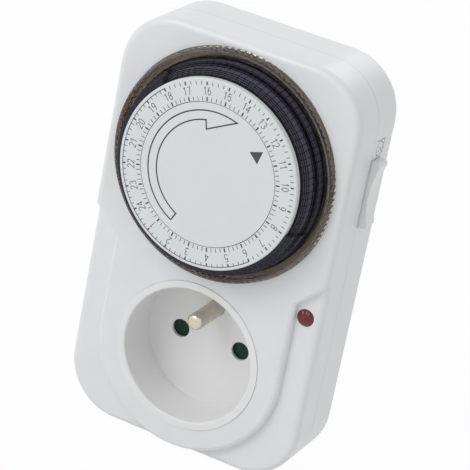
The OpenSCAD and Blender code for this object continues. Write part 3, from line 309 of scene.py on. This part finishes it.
# Half section of the lens: distance from its axis, and depth behind the seat of the dome
lens = bmesh.new()
profile = [(0.0, -1.05), (0.75, -0.98), (1.45, -0.78), (2.05, -0.42), (2.4, 0.0),
           (2.4, 3.0), (2.9, 3.0), (2.9, 3.8), (0.0, 3.8)]
corners = [lens.verts.new((r * MM, y * MM, 0.0)) for r, y in profile]
outline = [lens.edges.new(pair) for pair in zip(corners, corners[1:])]
bmesh.ops.spin(lens, geom=corners + outline, cent=(0, 0, 0), axis=(0, 1, 0), angle=2 * math.pi,
               steps=LENS_STEPS, use_merge=True)
bmesh.ops.remove_doubles(lens, verts=lens.verts, dist=0.001 * MM)
for vert in lens.verts:
    from_axis = math.hypot(vert.co.x, vert.co.z)
    if vert.co.y < FLUTE_OUTER_Y and from_axis > FLUTE_INNER_R:
        wave = 0.5 + 0.5 * math.cos(LENS_FLUTES * math.atan2(vert.co.z, vert.co.x))
        vert.co.y += FLUTE_DEPTH * wave * from_axis / LENS_R
bmesh.ops.translate(lens, verts=lens.verts, vec=LENS_SPOT)
red_acrylic = moulded_plastic("red_acrylic", (0.17, 0.007, 0.014), 0.14,
                              relief=0.002 * MM, shade=0.3)
tune(red_acrylic, {"Specular IOR Level": 0.3, "Coat Weight": 0.3, "Coat Roughness": 0.06})
object_of(lens, "pilot_lens", "housing", "lens_red", red_acrylic, "lamp_lens")

# ---------------------------------------------------------------------------- Dial wheel
# The dial turns on the post. Its wheel, with the gear at its back and a slot for every
# tappet, is moulded in near black plastic and shows as a thin dark rim round the numbers.
DIAL_Z = 57.2 * MM
DIAL_FACE = -52.4 * MM
WHEEL_RING_PITCH = 0.6 * MM

wheel_plastic = moulded_plastic("dial_wheel_plastic", (0.014, 0.013, 0.017), 0.34, shade=0.25)
turn_rings(wheel_plastic, DIAL_Z, WHEEL_RING_PITCH, 0.004 * MM)
finish(wheel_plastic, "dial_wheel")

# ---------------------------------------------------------------------------- Tappets
# Ninety-six tappets, four for each hour, slide in the wheel's slots. They are moulded in
# glossy blue-black plastic with steps on their heads, whose edges carry painted highlights.
# Those from 8 to 18 are pushed in.
TAPPET_NODES = ["tappets_%02d_%02d" % (hour, hour + 2) for hour in range(0, 24, 2)]
TAPPET_RING_PITCH = 0.35 * MM
FIRST_STEP = 26.925 * MM
STEP_WIDTH = 0.375 * MM
EDGE_HIGHLIGHT_WIDTH = 0.11 * MM

tappet_plastic = moulded_plastic("tappet_plastic", (0.008, 0.008, 0.013), 0.24, shade=0.25)
turn_rings(tappet_plastic, DIAL_Z, TAPPET_RING_PITCH, 0.004 * MM)
tune(tappet_plastic, {"Specular IOR Level": 0.2})
# Thin lighter rings along the edges of the head steps: painted highlights where rounded edges would
# catch the light
across = object_axis(tappet_plastic, "X")
along = shader_node(tappet_plastic, "Math", {"operation": "SUBTRACT"},
                    {0: object_axis(tappet_plastic, "Z"), 1: DIAL_Z}).outputs["Value"]
flat_place = shader_node(tappet_plastic, "CombineXYZ", {}, {"X": across, "Y": along})
from_dial_axis = shader_node(tappet_plastic, "VectorMath", {"operation": "LENGTH"},
                             {0: flat_place.outputs["Vector"]}).outputs["Value"]
past_first = shader_node(tappet_plastic, "Math", {"operation": "SUBTRACT"},
                         {0: from_dial_axis, 1: FIRST_STEP})
to_a_step = shader_node(tappet_plastic, "Math", {"operation": "PINGPONG"},
                        {0: past_first.outputs["Value"], 1: STEP_WIDTH / 2})
on_painted_edge_highlight = shader_node(tappet_plastic, "Math", {"operation": "LESS_THAN"},
                        {0: to_a_step.outputs["Value"], 1: EDGE_HIGHLIGHT_WIDTH / 2}).outputs["Value"]
paint_over(tappet_plastic, on_painted_edge_highlight, (0.1, 0.095, 0.125))
finish(tappet_plastic, *TAPPET_NODES)

# ---------------------------------------------------------------------------- Number ring
# A flat white ring on the wheel is printed in dark grey: a number for every hour, four
# strokes an hour at both edges, and a line along the ends of the outer strokes for the night.
HOUR_16 = 101.2
HOUR_ANGLE = 15
HOURS = 24
NIGHT_START = 18
NIGHT_HOURS = 12
INK_HEIGHT = 0.03 * MM
INNER_STROKES = (20.15, 21.25)
OUTER_STROKES = (24.45, 25.4)
HOUR_STROKE = 0.42
QUARTER_STROKE = 0.17
NUMBER_MIDDLE = 22.9 * MM
DIGIT_HEIGHT = 2.05
DIGIT_STEP = 1.3
PEN_WIDTH = 0.2
NIGHT_LINE = 25.32 * MM
NIGHT_LINE_WIDTH = 0.2 * MM
SHARP_CORNER = math.radians(40)
SMALL_ARC_R = 2
SMALL_ARC_STEP = 15
LARGE_ARC_STEP = 2


def hour_turn(hour):
    """Turns a print drawn at the right of a flat dial to the place of its hour."""
    return Matrix.Rotation(math.radians(HOUR_16 + (hour - 16) * HOUR_ANGLE), 4, "Z")


# Stands a flat print up on the dial's face: drawn X stays X, drawn Y becomes Z
onto_dial = Matrix.Translation((0, DIAL_FACE, DIAL_Z)) @ Matrix.Rotation(math.radians(90), 4, "X")


def arc(middle, radii, start, end):
    """Points of a round line about a middle, from one angle to another, in degrees."""
    step_angle = SMALL_ARC_STEP if radii[0] < SMALL_ARC_R else LARGE_ARC_STEP
    steps = round(abs(end - start) / step_angle)
    turns = [math.radians(start + (end - start) * step / steps) for step in range(steps + 1)]
    return [(middle[0] + radii[0] * math.cos(turn), middle[1] + radii[1] * math.sin(turn))
            for turn in turns]


def straight_runs(line, overlap):
    """Cuts a line at its sharp corners, where a tube would pinch, and lets the ends overlap."""
    runs = [[Vector(line[0])]]
    for before, here, after in zip(line, line[1:], line[2:]):
        here = Vector(here)
        coming = (here - Vector(before)).normalized()
        going = (Vector(after) - here).normalized()
        if coming.angle(going) < SHARP_CORNER:
            runs[-1].append(here)
        else:
            runs[-1].append(here + coming * overlap)
            runs.append([here - going * overlap])
    runs[-1].append(Vector(line[-1]))
    return runs


def ink_strokes(lines, width):
    """Flat lines of ink, all drawn with one pen. Sizes are in millimetres."""
    drawing = bpy.data.curves.new("strokes", "CURVE")
    drawing.dimensions = "3D"
    drawing.bevel_depth = width / 2 * MM
    drawing.bevel_resolution = 1
    drawing.use_fill_caps = True
    for run in [run for line in lines for run in straight_runs(line, width / 2)]:
        stroke = drawing.splines.new("POLY")
        stroke.points.add(len(run) - 1)
        for point, (x, y) in zip(stroke.points, run):
            point.co = (x * MM, y * MM, 0, 1)
    pen = bpy.data.objects.new("strokes", drawing)
    inked = bpy.data.meshes.new_from_object(pen)
    inked.transform(Matrix.Diagonal((1, 1, 2 * INK_HEIGHT / (width * MM), 1)))
    bpy.data.objects.remove(pen)
    return inked


# Strokes of each digit from 0 on, in a box 1 wide and DIGIT_HEIGHT high
DIGITS = [
    [arc((0.5, 1.02), (0.44, 1.0), 90, 450)],
    [[(0.2, 1.62), (0.58, 2.02), (0.58, 0.0)]],
    [[*arc((0.5, 1.5), (0.43, 0.52), 165, -30), (0.06, 0.03), (0.96, 0.03)]],
    [arc((0.48, 1.53), (0.4, 0.48), 150, -90), arc((0.48, 0.54), (0.46, 0.52), 90, -150)],
    [[(0.72, 0.0), (0.72, 2.02), (0.04, 0.62), (0.98, 0.62)]],
    [[(0.9, 2.0), (0.2, 2.0), (0.12, 1.1), *arc((0.48, 0.66), (0.46, 0.64), 120, -150)]],
    [arc((0.5, 0.6), (0.43, 0.57), 90, 450), arc((0.75, 0.75), (0.68, 1.28), 100, 180)],
    [[(0.05, 2.0), (0.95, 2.0), (0.38, 0.0)]],
    [arc((0.5, 1.54), (0.38, 0.46), 90, 450), arc((0.5, 0.54), (0.45, 0.52), 90, 450)],
]
# The nine is the six upside down
DIGITS.append([[(1 - x, DIGIT_HEIGHT - y) for x, y in line] for line in DIGITS[6]])


def dial_print(bm, name, body, material):
    """Puts a flat print on the dial's face."""
    bmesh.ops.transform(bm, matrix=onto_dial, verts=bm.verts)
    object_of(bm, name, body, "dark_plastic", material)


dial_white = moulded_plastic("dial_white", (0.73, 0.755, 0.775), 0.4, shade=0.02)
finish(dial_white, "number_ring", "centre_disc")
print_ink = moulded_plastic("print_ink", (0.085, 0.09, 0.1), 0.5, grain=0.15 * MM, shade=0.3)

strokes = bmesh.new()
for quarter in range(4 * HOURS):
    width = HOUR_STROKE if quarter % 4 == 0 else QUARTER_STROKE
    for inner, outer in (INNER_STROKES, OUTER_STROKES):
        size = Matrix.Diagonal(((outer - inner) * MM, width * MM, INK_HEIGHT, 1))
        place = Matrix.Translation(((inner + outer) / 2 * MM, 0, INK_HEIGHT / 2))
        bmesh.ops.create_cube(strokes, size=1.0, matrix=hour_turn(quarter / 4) @ place @ size)
dial_print(strokes, "hour_strokes", "dial", print_ink)

numbers = bmesh.new()
for hour in range(1, HOURS + 1):
    digits = [(place, DIGITS[int(digit)]) for place, digit in enumerate(str(hour))]
    lines = [[(x + DIGIT_STEP * place, y) for x, y in line]
             for place, digit in digits for line in digit]
    width = DIGIT_STEP * (len(digits) - 1) + 1
    written = ink_strokes(lines, PEN_WIDTH)
    written.transform(hour_turn(hour) @ Matrix.Translation((NUMBER_MIDDLE, 0, 0))
                      @ Matrix.Rotation(math.radians(-90), 4, "Z")
                      @ Matrix.Translation((-width / 2 * MM, -DIGIT_HEIGHT / 2 * MM, 0)))
    numbers.from_mesh(written)
    bpy.data.meshes.remove(written)
dial_print(numbers, "hour_numbers", "dial", print_ink)

night = bmesh.new()
section = [night.verts.new((NIGHT_LINE + side * NIGHT_LINE_WIDTH / 2, 0, height))
           for side, height in ((-1, 0), (1, 0), (1, INK_HEIGHT), (-1, INK_HEIGHT))]
end = night.faces.new(section)
bmesh.ops.transform(night, matrix=hour_turn(NIGHT_START), verts=night.verts)
bmesh.ops.spin(night, geom=[end, *end.edges, *section], cent=(0, 0, 0), axis=(0, 0, 1),
               angle=math.radians(NIGHT_HOURS * HOUR_ANGLE), steps=90)
dial_print(night, "night_line", "dial", print_ink)

# ---------------------------------------------------------------------------- Centre disc
# The fixed disc is snapped on the post. A long outlined arrow shows which way the dial turns,
# and a small solid triangle points at the time of day.
ARROW_OUTER = 17.65
ARROW_INNER = 15.1
ARROW_LINE = 0.4
ARROW_TAIL = 243.4
ARROW_NECK = 102.3
ARROW_TIP = (5.7, 16.8)
ARROW_BARB = (-2.65, 12.3)
POINTER_CORNERS = ((10.7, 10.4), (13.4, 7.8), (14.4, 11.6))

tip_angle = math.degrees(math.atan2(ARROW_TIP[1], ARROW_TIP[0]))
outer_line = arc((0, 0), (ARROW_OUTER, ARROW_OUTER), ARROW_TAIL, tip_angle + 1)
inner_line = arc((0, 0), (ARROW_INNER, ARROW_INNER), ARROW_NECK, ARROW_TAIL)
arrow_outline = ink_strokes([[*outer_line, ARROW_TIP, ARROW_BARB, *inner_line, outer_line[0]]],
                            ARROW_LINE)
arrow = bmesh.new()
arrow.from_mesh(arrow_outline)
bpy.data.meshes.remove(arrow_outline)
arrow_ink = moulded_plastic("arrow_ink", (0.05, 0.066, 0.078), 0.5, grain=0.15 * MM, shade=0.3)
dial_print(arrow, "direction_arrow", "housing", arrow_ink)

pointer = bmesh.new()
bmesh.ops.create_circle(pointer, cap_ends=True, segments=3, radius=1.0)
for vert, (x, y) in zip(pointer.verts, POINTER_CORNERS):
    vert.co = Vector((x, y, 0)) * MM
lifted = bmesh.ops.extrude_face_region(pointer, geom=pointer.faces[:])
bmesh.ops.translate(pointer, vec=(0, 0, INK_HEIGHT),
                    verts=[part for part in lifted["geom"] if isinstance(part, bmesh.types.BMVert)])
dial_print(pointer, "time_pointer", "housing", arrow_ink)

# ---------------------------------------------------------------------------- Grip ring
# The finger ring round the tappets is a hollow moulding of smoke brown acrylic, thin and clear
# enough to show the dark wheel and the white housing behind it, with fine ribs round it.
smoke_acrylic = moulded_plastic("smoke_acrylic", (0.69, 0.63, 0.58), 0.08, grain=2.0 * MM,
                                relief=0.001 * MM, shade=0.08)
tune(smoke_acrylic, {"Transmission Weight": 1.0, "IOR": 1.49})
finish(smoke_acrylic, "grip_ring")

# ---------------------------------------------------------------------------- Override rocker
# The rocker on the right side is moulded in the shell's white ABS, polished by the finger in
# its hollow. A small printed sign above it shows a switch that is held on.
SIGN_SPOT = Vector((36.0, -29.0, 68.1)) * MM
SIGN_LINE = 0.25

finish(moulded_plastic("rocker_abs", (0.8, 0.81, 0.815), 0.3), "override_rocker")

# Strokes of the sign, from the lower front corner of its box, in millimetres
sign_lines = [
    [(0.3, 4.8), (5.1, 4.7), (5.3, 1.5)],
    arc((2.8, 2.2), (2.0, 2.1), 0, 360),
    [(2.4, 2.6), (3.1, 2.4), (4.9, 0.6)],
    [(2.3, 1.4), (2.5, 2.0)],
]
drawn_sign = ink_strokes(sign_lines, SIGN_LINE)
drawn_sign.transform(Matrix.Translation(SIGN_SPOT) @ Matrix.Rotation(math.radians(90), 4, "Z")
                     @ Matrix.Rotation(math.radians(90), 4, "X"))
sign = bmesh.new()
sign.from_mesh(drawn_sign)
bpy.data.meshes.remove(drawn_sign)
sign_ink = moulded_plastic("sign_ink", (0.17, 0.17, 0.17), 0.5, shade=0.2)
object_of(sign, "override_sign", "housing", "dark_plastic", sign_ink)

# ---------------------------------------------------------------------------- Studio
# The timer stands upright on a plain white floor that runs on as the background, lit by a
# large soft panel from the upper left, a weaker one from above and behind, and the room.
FLOOR_Z = -28.95 * MM
FLOOR_HALF = 3.0
FLOOR_GLOW = 0.95
ROOM_LIGHT = 0.62
CAMERA_SPOT = (0.24749, -0.61146, 0.30093)
CAMERA_TURN = (66.638, -10.44, 27.383)
CAMERA_LENS = 191.65


def add_panel(name, spot, target, size, power):
    """A square soft light that faces a point."""
    panel = bpy.data.lights.new(name, "AREA")
    panel.size = size
    panel.energy = power
    holder = bpy.data.objects.new(name, panel)
    holder.location = spot
    holder.rotation_euler = (Vector(target) - Vector(spot)).to_track_quat("-Z", "Y").to_euler()
    bpy.context.collection.objects.link(holder)


def background_seen(owner):
    """1 for rays by which the background is seen, straight, in a mirror or through glass."""
    path = shader_node(owner, "LightPath", {}, {})
    seen = path.outputs["Is Camera Ray"]
    for ray in ("Is Glossy Ray", "Is Transmission Ray"):
        seen = shader_node(owner, "Math", {"operation": "MAXIMUM"},
                           {0: seen, 1: path.outputs[ray]}).outputs["Value"]
    return seen


floor = bmesh.new()
bmesh.ops.create_grid(floor, x_segments=1, y_segments=1, size=FLOOR_HALF)
bmesh.ops.translate(floor, verts=floor.verts, vec=(0, 0, FLOOR_Z))
floor_paper = bpy.data.materials.new("white_paper")
floor_paper.use_nodes = True
tune(floor_paper, {"Base Color": (0.9, 0.9, 0.9, 1), "Roughness": 0.9, "Specular IOR Level": 0.0})
share = shader_node(floor_paper, "Math", {"operation": "MULTIPLY"},
                    {0: background_seen(floor_paper), 1: FLOOR_GLOW}).outputs["Value"]
glow = shader_node(floor_paper, "Emission", {}, {"Color": (1, 1, 1, 1), "Strength": 1.0})
blended = shader_node(floor_paper, "MixShader", {}, {
    0: share, 1: surface_of(floor_paper).outputs["BSDF"], 2: glow.outputs["Emission"]})
paper_output = floor_paper.node_tree.nodes["Material Output"]
floor_paper.node_tree.links.new(blended.outputs["Shader"], paper_output.inputs["Surface"])
floor_mesh = bpy.data.meshes.new("floor")
floor.to_mesh(floor_mesh)
floor.free()
floor_mesh.materials.append(floor_paper)
floor_object = bpy.data.objects.new("floor", floor_mesh)
bpy.context.collection.objects.link(floor_object)

room = bpy.data.worlds.new("room")
bpy.context.scene.world = room
room.use_nodes = True
lit_room = room.node_tree.nodes["Background"]
lit_room.inputs["Color"].default_value = (1, 1, 1, 1)
lit_room.inputs["Strength"].default_value = ROOM_LIGHT
seen_room = shader_node(room, "Background", {}, {"Color": (1, 1, 1, 1), "Strength": 1.0})
room_mix = shader_node(room, "MixShader", {}, {
    0: background_seen(room), 1: lit_room.outputs["Background"],
    2: seen_room.outputs["Background"]})
room_output = room.node_tree.nodes["World Output"]
room.node_tree.links.new(room_mix.outputs["Shader"], room_output.inputs["Surface"])

add_panel("key_panel", (-0.7, -1.1, 1.1), (0, -0.03, 0.03), 0.9, 9.0)
add_panel("top_panel", (0, 1.0, 0.8), (0, -0.03, 0.06), 0.6, 2.0)

# The camera looks down from the front right with a long lens
view = bpy.data.cameras.new("camera")
view.lens = CAMERA_LENS
view.sensor_width = 36.0
camera = bpy.data.objects.new("camera", view)
camera.location = CAMERA_SPOT
camera.rotation_euler = [math.radians(turn) for turn in CAMERA_TURN]
bpy.context.collection.objects.link(camera)
bpy.context.scene.camera = camera
bpy.context.scene.view_settings.view_transform = "Standard"
